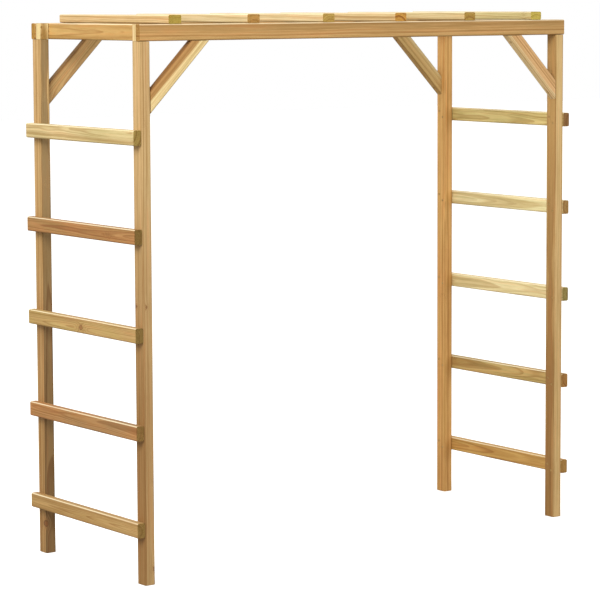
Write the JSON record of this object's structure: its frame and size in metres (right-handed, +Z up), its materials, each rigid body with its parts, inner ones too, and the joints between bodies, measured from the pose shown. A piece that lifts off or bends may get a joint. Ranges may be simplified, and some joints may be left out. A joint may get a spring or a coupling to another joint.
{
  "type": "monkey bars",
  "caption": "Free-standing timber climbing frame: ladder ends joined by long beams with knee braces, and overhead bars across the top.",
  "frame": {"origin": "on the ground, below the middle of the frame", "axes": "+X along the frame from the left to the right ladder end, +Y from front to back, +Z up"},
  "size_m": [2.069, 0.737, 2.032],
  "materials": {
    "pine_tan": "planed pressure-treated softwood, matt",
    "pine_honey": "planed pressure-treated softwood, matt",
    "pine_pale": "planed pressure-treated sapwood, matt",
    "pine_red": "planed pressure-treated heartwood, matt",
    "screw_steel": "yellow zinc plated wood screws"
  },
  "bodies": {
    "root": {"post_front_left": "pine_tan", "post_front_right": "pine_tan", "post_back_left": "pine_tan", "post_back_right": "pine_tan", "beam_front": "pine_tan", "beam_back": "pine_tan", "cross_beam_left": "pine_honey", "cross_beam_right": "pine_honey", "corner_block_front_left": "pine_pale", "corner_block_front_right": "pine_pale", "corner_block_back_left": "pine_pale", "corner_block_back_right": "pine_pale", "brace_front_left": "pine_honey", "brace_front_right": "pine_honey", "brace_back_left": "pine_honey", "brace_back_right": "pine_honey", "rung_left_1": "pine_pale", "rung_left_2": "pine_red", "rung_left_3": "pine_pale", "rung_left_4": "pine_red", "rung_left_5": "pine_pale", "rung_right_1": "pine_pale", "rung_right_2": "pine_red", "rung_right_3": "pine_pale", "rung_right_4": "pine_red", "rung_right_5": "pine_pale", "bar_1": "pine_honey", "bar_2": "pine_pale", "bar_3": "pine_pale", "bar_4": "pine_pale", "bar_5": "pine_pale", "bar_6": "pine_pale", "rung_screws_left": "screw_steel", "rung_screws_right": "screw_steel", "bar_screws": "screw_steel", "beam_screws": "screw_steel", "cross_beam_screws": "screw_steel", "brace_screws": "screw_steel", "corner_screws": "screw_steel"}
  },
  "joints": []
}
